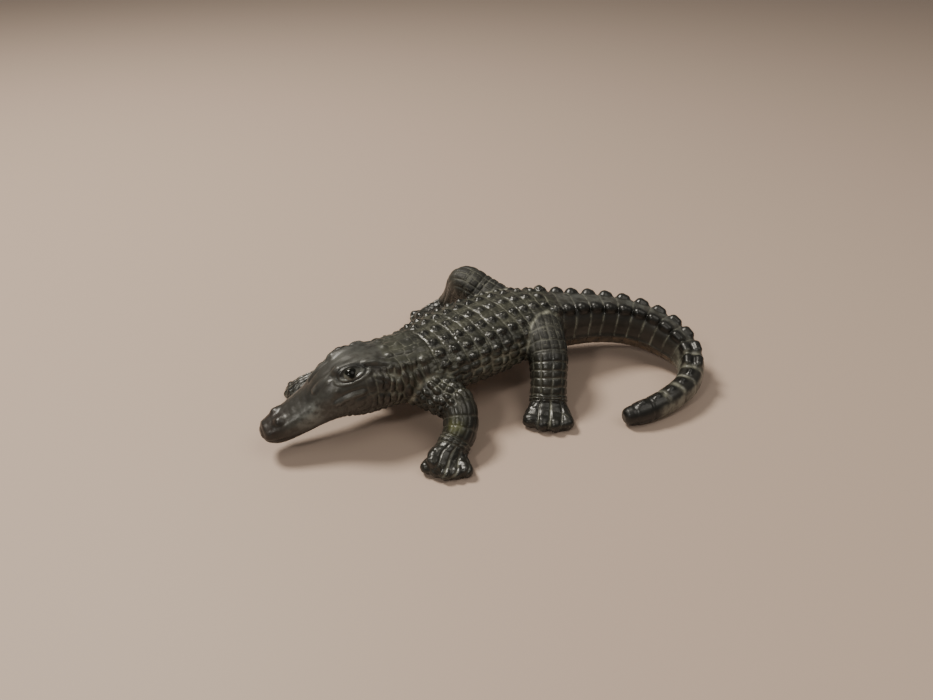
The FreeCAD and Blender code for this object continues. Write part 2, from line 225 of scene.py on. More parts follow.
# Folds and bumps of the face beside each eye: millimetres back from the eye and down the cheek.
FACE_FOLDS = [
    ((2.0, -0.9), (5.8, 0.0), 0.22),  # back from the corner of the eye
    ((3.0, 1.7), (6.4, 3.7), 0.16),  # down the cheek
    ((-3.6, 3.6), (0.4, 3.9), 0.22),  # cheek ridge
    ((-2.2, -1.6), (-5.2, -1.2), 0.16),  # bridge of the snout
]
FACE_WEDGE = ((3.2, 0.6), (6.0, 1.9))  # hollow between the two folds, darkened with painted shade
FACE_BUMPS = [(-3.0, -0.5), (-2.6, 1.7), (5.0, 3.4)]
OLIVE_ANGLE = -42  # where the left forearm is worn to olive

# Colours, linear.
BLACK = (0.006, 0.006, 0.005)
WASH = (0.25, 0.25, 0.20)
IRIS = ((0.080, 0.082, 0.070), (0.16, 0.16, 0.135))
HIDES = {
    # slot: body colour, second body colour, lowest and highest roughness
    "head_hide": ((0.040, 0.037, 0.030), (0.020, 0.018, 0.015), 0.30, 0.44),
    "back_hide": ((0.054, 0.054, 0.038), (0.020, 0.020, 0.015), 0.28, 0.42),
    "leg_hide": ((0.034, 0.033, 0.024), (0.010, 0.010, 0.008), 0.27, 0.42),
    "tail_hide": ((0.038, 0.034, 0.027), (0.015, 0.014, 0.011), 0.28, 0.42),
    "pale_belly": ((0.26, 0.19, 0.11), (0.15, 0.11, 0.060), 0.34, 0.50),
}
TINTS = [
    # mask, colour, strength
    ("tan", (0.125, 0.089, 0.058), 0.95),
    # dark brown paint; under the mouth line and in the hollow between the face folds it is painted shade
    ("brown_and_shade", (0.019, 0.011, 0.007), 0.92),
    # pale grey paint; on the head and nape it is mostly painted sheen, painted highlights and painted
    # reflection
    ("grey_and_sheen", (0.18, 0.19, 0.175), 0.90),
    ("olive", (0.14, 0.15, 0.045), 0.85),
]

# The view and its light: bearings in degrees, sizes in metres, power in watts.
VIEW_MIDDLE = Vector((0.00046, 0.00255, 0.008))
CAMERA_DISTANCE = 0.1325
CAMERA_AZIMUTH = 230.8
CAMERA_ELEVATION = 34.0
CAMERA_LENS = 27.0
FLOOR_COLOUR = (0.49, 0.375, 0.305)
FLOOR_ROUGHNESS = 0.6
FLOOR_HALF = 4.0
WORLD_COLOUR = (1.0, 0.95, 0.87)
WORLD_STRENGTH = 0.20
LIGHTS = [
    # name, azimuth, elevation, distance, size, power, colour
    ("key", 115, 58, 0.50, 0.14, 2.7, (1.0, 0.94, 0.83)),
    ("window", 195, 40, 0.60, 0.08, 0.7, (1.0, 0.96, 0.88)),
    ("fill", 290, 60, 0.60, 0.40, 0.8, (1.0, 0.95, 0.86)),
]


# Small helpers
def unit(vectors):
    """The same directions with a length of one."""
    return vectors / np.maximum(np.linalg.norm(vectors, axis=-1, keepdims=True), 1e-12)


def ease(low, high, values):
    """0 below low, 1 above high and a smooth step between."""
    t = np.clip((values - low) / (high - low), 0, 1)
    return t * t * (3 - 2 * t)


def fade(low, high, values):
    """1 below low, 0 above high and a smooth step between."""
    return 1 - ease(low, high, values)


def line(distance, width):
    """1 on a line and fading to 0 over about its width."""
    return np.exp(-(distance / width) ** 2)


def scatter(i, j, seed):
    """A repeatable random number from 0 to 1 for each pair of whole numbers."""
    n = np.sin(i * 127.1 + j * 311.7 + seed * 74.7) * 43758.5453
    return n - np.floor(n)


def cells(u, v, seed, stray):
    """Irregular scales one unit across: distance to the scale's middle, and to its edge."""
    near = np.full(u.shape, 9.0)
    second = np.full(u.shape, 9.0)
    for di in (-1, 0, 1):
        for dj in (-1, 0, 1):
            i = np.floor(u) + di
            j = np.floor(v) + dj
            across = u - i - 0.5 - stray * (scatter(i, j, seed) - 0.5)
            down = v - j - 0.5 - stray * (scatter(i, j, seed + 1) - 0.5)
            distance = np.hypot(across, down)
            second = np.minimum(second, np.maximum(near, distance))
            near = np.minimum(near, distance)
    return near, second - near


def grid_lines(u, width_u, v, width_v):
    """Grooves of a square grid with unit cells; widths are in the same units."""
    return line(np.abs(u - np.round(u)), width_u), line(np.abs(v - np.round(v)), width_v)


# Tubes
class Tube:
    """A rounded length of the figure that follows a list of stations."""

    def __init__(self, stations, level, domes):
        rows = [row if len(row) == 6 else row + (LIMB_POWER,) for row in stations]
        table = np.array(rows)
        places = np.linspace(0, len(table) - 1, (len(table) - 1) * STEPS + 1)
        samples = self.catmull(table, places)
        self.centre = samples[:, :3]
        self.half = samples[:, 3:5]
        self.power = samples[:, 5]
        self.along = unit(np.gradient(self.centre, axis=0))
        self.side = self.sides(level)
        self.up = np.cross(self.along, self.side)
        self.domes = domes
        steps = np.linalg.norm(np.diff(self.centre, axis=0), axis=1)
        self.length = np.concatenate([[0], np.cumsum(steps)])

    @staticmethod
    def catmull(table, places):
        last = len(table) - 1
        i = np.minimum(places.astype(int), last - 1)
        u = (places - i)[:, None]
        p0, p1, p2, p3 = (table[np.clip(i + k, 0, last)] for k in (-1, 0, 1, 2))
        cubic = (-p0 + 3 * p1 - 3 * p2 + p3) * u ** 3
        square = (2 * p0 - 5 * p1 + 4 * p2 - p3) * u ** 2
        return 0.5 * (2 * p1 + (p2 - p0) * u + square + cubic)

    def sides(self, level):
        """Sideways direction at each sample: level all along, or carried without twist."""
        flat = unit(np.cross([0.0, 0.0, 1.0], self.along))
        if level:
            return flat
        carried = [flat[0]]
        for along in self.along[1:]:
            side = carried[-1] - along * (carried[-1] @ along)
            carried.append(side / np.linalg.norm(side))
        return np.array(carried)

    def radius_at(self, distance):
        """Mean of the half-width and half-height at a distance along the tube."""
        return np.interp(distance, self.length, self.half.mean(axis=1))

    def distance_of(self, station):
        return np.interp(station * STEPS, np.arange(len(self.length)), self.length)

    def frame_at(self, distance):
        """Centre, along, side, up, half sizes and squareness at a distance along the tube."""
        columns = np.column_stack([self.centre, self.along, self.side, self.up, self.half, self.power])
        row = np.array([np.interp(distance, self.length, column) for column in columns.T])
        return row[:3], unit(row[3:6]), unit(row[6:9]), unit(row[9:12]), row[12:14], row[14]

    def skin_point(self, distance, degrees, depth=0.0):
        """Point on the tube's skin, its outward direction and the direction along."""
        centre, along, side, up, half, power = self.frame_at(distance)
        angle = math.radians(degrees)
        reach_side = math.copysign(abs(math.sin(angle)) ** (2 / power) * half[0], math.sin(angle))
        reach_up = math.copysign(abs(math.cos(angle)) ** (2 / power) * half[1], math.cos(angle))
        outward = unit(side * math.sin(angle) / half[0] + up * math.cos(angle) / half[1])
        return centre + side * reach_side + up * reach_up - outward * depth, outward, along

    def mesh(self):
        """Closed polygons of the tube, with a low dome on each end."""
        turn = np.linspace(0, 2 * math.pi, RING_POINTS, endpoint=False)
        rings = []
        for k in range(len(self.centre)):
            rings.append(self.ring(k, turn, 1.0, 0.0))
        for end, sign, height in ((0, -1, self.domes[0]), (len(self.centre) - 1, 1, self.domes[1])):
            dome = []
            for rise in DOME_RISES:
                shrink = math.sqrt(1 - rise ** 2)
                dome.append(self.ring(end, turn, shrink, sign * rise * height * self.half[end].min()))
            rings = dome[::-1] + rings if sign < 0 else rings + dome
        points = np.concatenate(rings)
        count = len(rings)
        first = np.arange(RING_POINTS)
        ring_start = np.arange(count - 1)[:, None] * RING_POINTS
        a = (ring_start + first).ravel()
        b = (ring_start + (first + 1) % RING_POINTS).ravel()
        quads = np.column_stack([a, b, b + RING_POINTS, a + RING_POINTS])
        poles = np.array([rings[0].mean(axis=0), rings[-1].mean(axis=0)])
        last = first + (count - 1) * RING_POINTS
        start = np.column_stack([np.roll(first, -1), first, np.full(RING_POINTS, len(points))])
        finish = np.column_stack([last, np.roll(last, -1), np.full(RING_POINTS, len(points) + 1)])
        return np.concatenate([points, poles]), np.concatenate([start, finish]), quads

    def ring(self, k, turn, shrink, shift):
        across = np.sign(np.cos(turn)) * np.abs(np.cos(turn)) ** (2 / self.power[k]) * self.half[k, 0]
        height = np.sign(np.sin(turn)) * np.abs(np.sin(turn)) ** (2 / self.power[k]) * self.half[k, 1]
        middle = self.centre[k] + self.along[k] * shift
        return middle + shrink * (across[:, None] * self.side[k] + height[:, None] * self.up[k])

    def locate(self, points):
        """Distance along, angle from the top in degrees, distance from the skin, sideways offset."""
        nearest = np.empty(len(points), dtype=int)
        weight = (self.centre ** 2).sum(axis=1)
        for start in range(0, len(points), BLOCK):
            block = points[start:start + BLOCK]
            nearest[start:start + BLOCK] = np.argmin(weight - 2 * block @ self.centre.T, axis=1)
        offset = points - self.centre[nearest]
        run = (offset * self.along[nearest]).sum(axis=1)
        distance = self.length[nearest] + run
        side = (offset * self.side[nearest]).sum(axis=1)
        up = (offset * self.up[nearest]).sum(axis=1)
        half_width = np.interp(distance, self.length, self.half[:, 0])
        half_height = np.interp(distance, self.length, self.half[:, 1])
        power = np.interp(distance, self.length, self.power)
        x = np.abs(side / half_width)
        y = np.abs(up / half_height)
        angle = np.degrees(np.arctan2(np.sign(side) * x ** (power / 2), np.sign(up) * y ** (power / 2)))
        level = np.maximum((x ** power + y ** power) ** (1 / power), 1e-3)
        beyond = np.maximum(-distance, distance - self.length[-1])
        skin = np.hypot(side, up) * (1 - 1 / level)
        skin = np.where(beyond > 0, np.hypot(beyond, np.maximum(skin, 0)), skin)
        return distance, angle, skin, side / half_width


spine = Tube(SPINE, True, SPINE_DOMES)
limbs = {name: Tube(limb["stations"], False, LIMB_DOMES) for name, limb in LIMBS.items()}
head_end = spine.distance_of(SPANS["head"][1])
head_fade = (head_end - 0.5, head_end + 2)


# Raised features
class Rod:
    """A tapered rod with round ends, one raised feature, and the node it belongs to."""

    def __init__(self, node, start, end, radius_start, radius_end, soften):
        self.node = node
        self.start = np.array(start)
        self.end = np.array(end)
        self.radii = (radius_start, radius_end)
        self.soften = soften

    def distance(self, points):
        axis = self.end - self.start
        offset = points - self.start
        t = np.clip(offset @ axis / max(axis @ axis, 1e-9), 0, 1)
        radius = self.radii[0] + (self.radii[1] - self.radii[0]) * t
        return np.linalg.norm(offset - t[..., None] * axis, axis=-1) - radius

    def near(self, points):
        """Numbers of the points that are close enough to be worth measuring."""
        return np.where(np.abs(points - self.start).max(axis=1) < KNOB_WINDOW)[0]

    def beyond(self, points):
        """Distance before or after the rod's middle."""
        return np.abs((points - (self.start + self.end) / 2) @ unit(self.end - self.start))


def knob(node, distance, degrees, radius, rise, soften, half_length, upright=0.0):
    """A knob that stands proud of the spine's skin by its rise, longer along the body."""
    foot, outward, along = spine.skin_point(distance, degrees)
    outward = unit(outward + np.array([0, 0, upright]))
    middle = foot + outward * (rise - radius)
    tip = middle + along * half_length - outward * KNOB_DIP
    return Rod(node, middle - along * half_length, tip, radius, radius * KNOB_TAPER, soften)


def scute_rods():
    rods = []
    for k in range(NAPE_RINGS):
        for degrees in BACK_COLUMNS[1:-1]:
            rods.append(knob("nape_scutes", NAPE_START + k * BACK_PITCH, degrees, *NAPE_KNOB))
    for k in range(BACK_RINGS):
        for degrees in BACK_COLUMNS:
            node = "back_scutes_%d" % (k + 1)
            rods.append(knob(node, BACK_START + k * BACK_PITCH, degrees, *BACK_KNOB))
    total = CREST_PAIRS + CREST_SINGLES - 1
    for k in range(CREST_PAIRS + CREST_SINGLES):
        scale = 1 - (1 - CREST_SHRINK) * k / total
        spread = CREST_ANGLES[0] + (CREST_ANGLES[1] - CREST_ANGLES[0]) * k / CREST_PAIRS
        distance = TAIL_START + k * TAIL_PITCH
        if k < CREST_PAIRS:
            radius, rise, soften = CREST_KNOB
            half_length = TAIL_PITCH / 2 - CREST_NOTCH - radius * scale
            for side, degrees in (("left", -spread), ("right", spread)):
                rods.append(knob("tail_crest_" + side, distance, degrees,
                                 radius * scale, rise * scale, soften, half_length, CREST_UPRIGHT))
        else:
            radius, rise, soften, half_length = CREST_END_KNOB
            rods.append(knob("tail_crest_end", distance, 0,
                             radius * scale, rise * scale, soften, half_length * scale))
    return rods


def face_rods():
    rods = []
    for name, sign in (("left", -1), ("right", 1)):
        ends = []
        for station, degrees, depth in (BROW_FRONT, BROW_BACK):
            place = spine.distance_of(EYE_STATION + station)
            ends.append(spine.skin_point(place, sign * (EYE_ANGLE + degrees), depth)[0])
        rods.append(Rod(name + "_brow", *ends, *BROW_RADII, BROW_FILLET))
        place = spine.distance_of(NOSTRIL_STATION)
        front = spine.skin_point(place, sign * NOSTRIL_ANGLE, NOSTRIL_SINK)[0]
        back = front + np.array([NOSTRIL_LENGTH, 0, 0])
        rods.append(Rod(name + "_nostril", front, back, *NOSTRIL_RADII, NOSTRIL_FILLET))
    return rods


def toe_rods(name):
    """The toes fan out from the front of the foot."""
    limb = LIMBS[name]
    tube = limbs[name]
    radius = limb["toe_radius"]
    root = tube.centre[-1].copy()
    root[2] = radius * TOE_HEIGHT
    heading = unit(tube.along[-1] * [1, 1, 0])
    across = np.cross([0, 0, 1], heading)
    reach = limb["stations"][-1][3] - radius * TOE_OVERLAP
    rods = []
    for k in range(limb["toes"]):
        place = 2 * k / (limb["toes"] - 1) - 1
        angle = math.radians(place * limb["splay"] / 2)
        pointing = heading * math.cos(angle) + across * math.sin(angle)
        start = root + across * (place * reach) - heading * (abs(place) * radius * TOE_STEP_BACK)
        rods.append(Rod(name + "_toes", start - pointing * TOE_ROOT, start + pointing * TOE_LENGTH,
                        radius * TOE_TAPER[0], radius * TOE_TAPER[1], TOE_FILLET))
    return rods


scutes = scute_rods()
face = face_rods()
toes = {name: toe_rods(name) for name in LIMBS}


# The sculpted skin
class Skin:
    """A grid of distances to the skin, into which the figure's volumes are merged."""

    def __init__(self, low, high):
        self.low = np.floor(np.array(low) / VOXEL).astype(int)
        self.size = np.ceil(np.array(high) / VOXEL).astype(int) - self.low
        self.values = np.full(self.size, BAND, dtype=np.float32)

    def window(self, low, high, margin):
        first = np.floor((np.array(low) - margin) / VOXEL).astype(int) - self.low
        last = np.ceil((np.array(high) + margin) / VOXEL).astype(int) - self.low
        return np.maximum(first, 0), np.minimum(last, self.size)

    def merge(self, first, other, soften):
        """Union with another field, filleted over about the softening distance."""
        view = tuple(slice(f, f + n) for f, n in zip(first, other.shape))
        here = self.values[view]
        overlap = np.maximum(soften - np.abs(here - other), 0) / soften
        self.values[view] = np.minimum(here, other) - overlap ** 2 * soften / 4

    def add_tube(self, tube, soften):
        points, triangles, quads = tube.mesh()
        grid = vdb.FloatGrid.createLevelSetFromPolygons(
            points, triangles=triangles, quads=quads,
            transform=vdb.createLinearTransform(VOXEL), halfWidth=BAND / VOXEL)
        first, last = self.window(points.min(axis=0), points.max(axis=0), BAND)
        other = np.full(last - first, BAND, dtype=np.float32)
        grid.copyToArray(other, ijk=tuple(int(v) for v in first + self.low))
        self.merge(first, other, soften)

    def add_rod(self, rod):
        low = np.minimum(rod.start, rod.end)
        high = np.maximum(rod.start, rod.end)
        first, last = self.window(low, high, max(rod.radii) + rod.soften + 2 * VOXEL)
        axes = [(np.arange(f, l) + o) * VOXEL for f, l, o in zip(first, last, self.low)]
        points = np.stack(np.meshgrid(*axes, indexing="ij"), axis=-1)
        self.merge(first, rod.distance(points).astype(np.float32), rod.soften)

    def flatten_soles(self):
        height = (np.arange(self.size[2]) + self.low[2]) * VOXEL
        self.values = np.maximum(self.values, -height.astype(np.float32))

    def surface(self):
        grid = vdb.FloatGrid(BAND)
        grid.copyFromArray(self.values, ijk=tuple(int(v) for v in self.low))
        grid.transform = vdb.createLinearTransform(VOXEL)
        points, quads = grid.convertToQuads(isovalue=0.0)
        return points.astype(float), quads.astype(int)


def sculpt():
    skin = Skin(np.array(cad_box[0]) / MM - GRID_MARGIN, np.array(cad_box[1]) / MM + GRID_MARGIN)
    skin.add_tube(spine, SPINE_FILLET)
    for rod in face:
        skin.add_rod(rod)
    for name, tube in limbs.items():
        skin.add_tube(tube, LIMB_FILLET)
        for rod in toes[name]:
            skin.add_rod(rod)
    for rod in scutes:
        skin.add_rod(rod)
    skin.flatten_soles()
    return skin.surface()


def vertex_normals(points, quads):
    a, b, c, d = (points[quads[:, k]] for k in range(4))
    face = np.cross(c - a, d - b)
    normals = np.zeros_like(points)
    for k in range(4):
        np.add.at(normals, quads[:, k], face)
    return unit(normals)


# Scale patterns: each gives a height in millimetres and how much pale wash lies in its grooves
def plates(s, angle, seed):
    """Plates across the back: grooves between rings, faint ones between columns."""
    ring = (s - BACK_START) / BACK_PITCH
    column = angle / COLUMN
    across = line((np.abs(ring - np.round(ring)) - 0.5) * BACK_PITCH, 0.12)
    along = line((np.abs(column - np.round(column)) - 0.5) * 2.7, 0.16)
    worn = scatter(np.floor(ring + 0.5), np.floor(column), seed)
    height = 0.03 - 0.13 * across - 0.04 * along
    return height, np.maximum(across * (0.10 + 0.60 * worn ** 2), 0.20 * along * worn)


def knobs(u, v, seed, rise, joint=0.09, stray=0.5):
    """Round knobs about one unit across, with pale joints between them."""
    near, edge = cells(u, v, seed, stray)
    worn = scatter(np.floor(u * 0.7), np.floor(v * 0.7), seed + 5)
    dome = 1 - np.clip(near / 0.52, 0, 1) ** 2
    return rise * (dome - 0.45), line(edge, joint) * worn * 0.8


def squares(u, v, seed, rise, wash):
    """Squarish scales in rows and columns with pale lines between them."""
    rows, columns = grid_lines(u, 0.075, v, 0.085)
    worn = scatter(np.floor(u), np.floor(v), seed)
    round_u, round_v = (1 - (2 * np.abs(w - np.floor(w) - 0.5)) ** 4 for w in (u, v))
    dome = round_u * round_v
    return rise * (dome - 0.6), wash * np.maximum(rows, 0.75 * columns) * (0.3 + 0.7 * worn)


def segment(u, v, start, end):
    """Distance from a straight line on the skin."""
    run = np.array(end) - np.array(start)
    t = np.clip(((u - start[0]) * run[0] + (v - start[1]) * run[1]) / (run @ run), 0, 1)
    return np.hypot(u - start[0] - t * run[0], v - start[1] - t * run[1])


def wobble(points, seed):
    """A slow wander of about a quarter of a millimetre, so that hand-cut rows aren't ruled lines."""
    x, y, z = points.T
    slow = np.sin(x * 0.83 + y * 0.47 + seed) + np.sin(y * 1.19 - z * 0.71 + 2 * seed)
    quick = np.sin(x * 2.3 - z * 1.9 + 3 * seed) + np.sin(y * 2.9 + x * 1.3 + 4 * seed)
    return 0.09 * slow + 0.045 * quick


# paint masks; the pale grey and the brown ones also carry painted sheen, highlights, reflections and
# shade
MASKS = ("wash", "raised", "dark", "tan", "brown_and_shade", "grey_and_sheen", "olive", "matte")


class Relief:
    """Height and paint masks of the skin, gathered one region at a time."""

    def __init__(self, count):
        self.height = np.zeros(count)
        self.masks = {name: np.zeros(count) for name in MASKS}

    def add(self, weight, height, wash=0.0):
        self.height += weight * height
        self.paint("wash", weight * wash)

    def paint(self, name, amount):
        self.masks[name] = np.maximum(self.masks[name], np.clip(amount, 0, 1))


def body_relief(relief, points, s, angle, weight):
    turn = np.abs(angle)
    arc = np.radians(angle) * spine.radius_at(s) + wobble(points, 2.0)
    shoulder = spine.distance_of(SPANS["trunk"][0])
    hips = spine.distance_of(SPANS["trunk"][1])
    s = s + wobble(points, 1.0)

    trunk = weight * ease(shoulder - 1.5, shoulder + 1.0, s) * fade(hips, hips + 3, s)
    back = fade(*BACK_EDGE, turn)
    flank = ease(*BACK_EDGE, turn) * fade(*FLANK_EDGE, turn)
    under = ease(*FLANK_EDGE, turn)
    relief.add(trunk * back, *plates(s, angle, 3))
    relief.add(trunk * back, *knobs(s / 0.95, arc / 0.95, 5, 0.09, joint=0.05))
    height, pale = knobs(s / 2.1, arc / 1.8, 11, 0.50, joint=0.20)
    relief.add(trunk * flank, height, 1.2 * pale)
    relief.paint("dark", trunk * flank * ease(0.0, 0.25, height) * 0.6)
    relief.add(trunk * under, *squares(s / 2.1, arc / 2.4, 13, 0.06, 0.15))
    groin = ease(hips - 16, hips - 11, s)
    tan_top = BELLY_TOP + 1.2 + 0.6 * groin
    relief.paint("tan", trunk * fade(BELLY_TOP + 0.1, tan_top, points[:, 2]) * 0.7)

    ahead = weight * fade(shoulder - 1.5, shoulder + 1.0, s)
    neck = ahead * ease(*head_fade, s)
    top = fade(*NECK_TOP_EDGE, turn)
    sides = ease(*NECK_TOP_EDGE, turn) * fade(*NECK_LOW_EDGE, turn)
    relief.add(neck * top, *knobs(s / 2.4, arc / 1.5, 17, 0.14, joint=0.05))
    # pale grey on the top of the nape: partly its own greenish-grey, partly painted sheen
    relief.paint("grey_and_sheen", neck * top * 0.12)
    relief.paint("brown_and_shade", neck * fade(head_end, head_end + 3, s) * 0.35)
    folded = ahead * ease(head_end - 5.5, head_end + 0.5, s)
    height, pale = knobs(s / 1.15, arc / 3.0, 23, 0.50, joint=0.20)
    relief.add(folded * sides, height, 1.2 * pale)
    relief.paint("brown_and_shade", folded * sides * ease(-0.05, 0.15, height) * 0.85)
    relief.add(neck * ease(*NECK_LOW_EDGE, turn), *squares(s / 1.6, arc / 2.2, 29, 0.05, 0.10))


def tail_relief(relief, points, s, angle, weight):
    turn = np.abs(angle)
    arc = np.radians(angle) * spine.radius_at(s)
    hips = spine.distance_of(SPANS["trunk"][1])
    bend = spine.distance_of(SPANS["tail_return"][0])
    tip = spine.length[-1]
    tail = weight * ease(hips, hips + 3, s)
    slim = ease(bend - 2, bend + 3, s)
    thick = tail * (1 - slim)
    thin = tail * slim
    ring = (s + 0.5 * wobble(points, 5.0) - TAIL_START) / TAIL_PITCH
    joint = (np.abs(ring - np.round(ring)) - 0.5) * TAIL_PITCH
    worn = scatter(np.floor(ring + 0.5), np.sign(angle), 7)
    crest = np.interp(s, [TAIL_START, TAIL_START + CREST_PAIRS * TAIL_PITCH], CREST_ANGLES)

    between = fade(crest - 10, crest - 3, turn)
    flank = ease(crest + 6, crest + 14, turn) * fade(KEEL_ANGLE - 4, KEEL_ANGLE + 2, turn)
    low_flank = flank * ease(crest + 16, crest + 26, turn)
    seam = line(joint, 0.16)
    relief.add(thick, 0.02 - 0.16 * seam * fade(116, 124, turn))
    relief.add(thick * low_flank, 0.0, line(joint, 0.22) * (0.45 + 0.5 * worn))
    relief.add(thick * between, 0.0, 0.35 * seam)
    relief.paint("grey_and_sheen", thick * between * 0.35)
    relief.paint("dark", thick * flank * (0.6 - 0.35 * low_flank))
    keel = line(turn - KEEL_ANGLE, 4.0)
    relief.add(thick, 0.22 * keel, 0.10 * keel)
    relief.add(tail * ease(118, 126, turn), *squares(ring * 1.5, arc / 2.2, 31, 0.05, 0.06))
    relief.paint("tan", thick * ease(KEEL_ANGLE - 1, KEEL_ANGLE + 6, turn))

    side = ease(48, 66, turn)
    wide = line(joint, 0.36 + 0.2 * worn)
    relief.add(thin, -0.13 * line(joint, 0.28) * fade(110, 125, turn))
    before_tip = fade(tip - 6.0, tip - 4.5, s)
    relief.paint("wash", thin * wide * (1 - side) * before_tip * 0.65)
    relief.paint("wash", thin * side * before_tip * 0.55)
    relief.paint("dark", thin * (1 - side) * (1 - wide) * 0.6)
    relief.paint("dark", tail * (1 - before_tip))


def head_relief(relief, points, s, angle, weight):
    turn = np.abs(angle)
    radius = spine.radius_at(s)
    arc = np.radians(angle) * radius
    along = s - spine.distance_of(EYE_STATION)
    down = np.radians(turn - EYE_ANGLE) * np.maximum(radius, 3.0)
    ring = np.hypot(along / 1.02, down / 0.80)
    below = ease(-0.7, 0.5, down)
    relief.add(weight, 0.17 * line(ring - 1.32, 0.22) - 0.08 * line(ring - 1.70, 0.18))
    relief.add(weight * below, 0.11 * line(ring - 2.10, 0.26))
    # painted highlight on the lower lid folds below the eye
    relief.paint("grey_and_sheen", weight * below * (line(ring - 1.32, 0.22) + 0.35 * line(ring - 2.10, 0.20)))
    # painted shadow under the upper lid, above the eye
    lid_shadow = (1 - below) * line(ring - 1.4, 0.40)
    relief.paint("dark", weight * (0.5 * line(ring - 1.70, 0.20) + 0.9 * lid_shadow))
    wedge = segment(along, down, *FACE_WEDGE)
    relief.add(weight, -0.12 * line(wedge, 0.7))
    # painted shade in the hollow between the folds
    relief.paint("brown_and_shade", weight * line(wedge, 0.7) * 0.8)
    for start, end, rise in FACE_FOLDS:
        fold = segment(along, down, start, end)
        relief.add(weight, rise * line(fold, 0.42) - 0.5 * rise * line(fold - 0.8, 0.25))
        # painted highlight along the ridge of each fold
        relief.paint("grey_and_sheen", weight * 0.35 * line(fold, 0.32))
    for place in FACE_BUMPS:
        relief.add(weight, 0.22 * line(np.hypot(along - place[0], down - place[1]), 0.5))

    jaw = weight * ease(10.0, 15.0, s) * ease(70, 84, turn) * fade(140, 150, turn)
    rear = weight * ease(head_end - 5, head_end, s)
    # pale grey easing the head's rear into the nape: partly its own grey, partly painted sheen
    relief.paint("grey_and_sheen", rear * fade(38, 60, turn) * 0.22)
    # painted sheen: a pale grey patch on the crown that stands in for the light on the top of the head
    crown = weight * ease(13, 17, s) * fade(30, 50, turn)
    relief.paint("grey_and_sheen", crown * 0.25)
    height, pale = knobs(s / 1.5, arc / 1.3, 37, 0.20)
    relief.add(jaw, height, 0.25 * pale)

    run = points[:, 0] - MOUTH_FRONT[0]
    mouth = points[:, 2] - MOUTH_FRONT[1] - MOUTH_SLOPE * run - 0.15 * np.sin(run * 0.9)
    lips = weight * fade(head_end - 3, head_end - 1, s)
    relief.add(lips, -0.20 * line(mouth, 0.15) + 0.08 * line(mouth - 0.5, 0.3))
    relief.paint("dark", lips * line(mouth, 0.18) * 0.8)
    pebbles = knobs(s / 1.2, arc / 1.1, 43, 0.03)[0]
    relief.add(weight * fade(10, 14, s), pebbles)
    relief.paint("brown_and_shade", weight * fade(3.0, 7.5, s))
    # painted shade: the lower jaw below the mouth line darkened brown
    relief.paint("brown_and_shade", weight * fade(-1.0, 0.3, mouth) * 0.7)
    # painted reflection: the side of the snout painted pale grey where it reflects the light
    snout_reflection = line(s - 9.0, 3.8) * line(turn - 70, 30) * ease(0.0, 0.6, mouth)
    relief.paint("grey_and_sheen", weight * snout_reflection)
    relief.paint("dark", weight * fade(11, 15, s) * fade(25, 50, turn) * 0.3)


def limb_relief(relief, name, points, place, weight):
    limb = LIMBS[name]
    tube = limbs[name]
    s, angle, _, across = place
    radius = tube.radius_at(s)
    joint = tube.distance_of(limb["joint"])
    ankle = tube.distance_of(limb["ankle"])
    s = s + 0.6 * wobble(points, 7.0)
    arc = np.radians(angle) * radius + 0.6 * wobble(points, 8.0)
    foot = ease(ankle - 0.2, ankle + 0.6, s)
    shank = ease(joint - 0.8, joint + 0.8, s) * (1 - foot)
    thigh = fade(joint - 0.8, joint + 0.8, s)

    if name.endswith("hind"):
        relief.add(weight * thigh, *squares(s / 1.6, arc / 1.6, 47, 0.24, 0.60))
        relief.add(weight * thigh, *knobs(s / 0.9, arc / 0.7, 49, 0.03, joint=0.05))
        relief.add(weight * shank, *squares((s - joint) / 1.35, arc / 1.95, 59, 0.24, 0.55))
        # hind legs painted darker; on the thighs this is partly painted shade that damps the knee's
        # highlight
        relief.paint("dark", weight * (0.6 * thigh + 0.3 * shank))
        relief.paint("matte", weight * thigh)
    else:
        relief.add(weight * thigh, *knobs(s / 1.5, arc / 1.45, 53, 0.55, joint=0.08, stray=0.35))
        relief.add(weight * shank, *squares((s - joint) / 2.0, arc / 1.3, 59, 0.14, 0.30))
        relief.paint("dark", weight * (0.2 * thigh + 0.25 * shank))

    band = sum(line(s - ankle + step, 0.13) for step in (0.0, 0.75, 1.45))
    worn = 0.35 + 0.65 * scatter(np.floor(arc / 2.2), np.round(s - ankle), 67)
    pale = 0.75 if name.endswith("hind") else 0.40
    relief.add(weight, 0.10 * line(s - ankle + 0.7, 0.8) - 0.16 * band, pale * band * worn)
    upper = fade(70, 95, np.abs(angle))
    gap = (across + 1) / 2 * limb["toes"]
    off = np.abs(gap - np.round(gap)) * 2 * radius / limb["toes"]
    between = line(off, 0.13) * (np.abs(across) < 0.9)
    middle = 0.15 + 0.8 * line(across, 0.3)
    relief.add(weight * foot * upper, -0.22 * between, between * middle)
    relief.add(weight * foot, *knobs(s / 1.3, arc / 1.3, 61, 0.08, joint=0.02))
    relief.paint("dark", weight * foot * 0.7)
    relief.paint("dark", weight * ease(tube.length[-1] - 0.6, tube.length[-1] + 1.4, s) * 0.8)
    if name == "left_front":
        worn = line(s - (joint + ankle) / 2 - 0.4, 1.5) * line(angle - OLIVE_ANGLE, 26)
        relief.paint("olive", weight * worn)


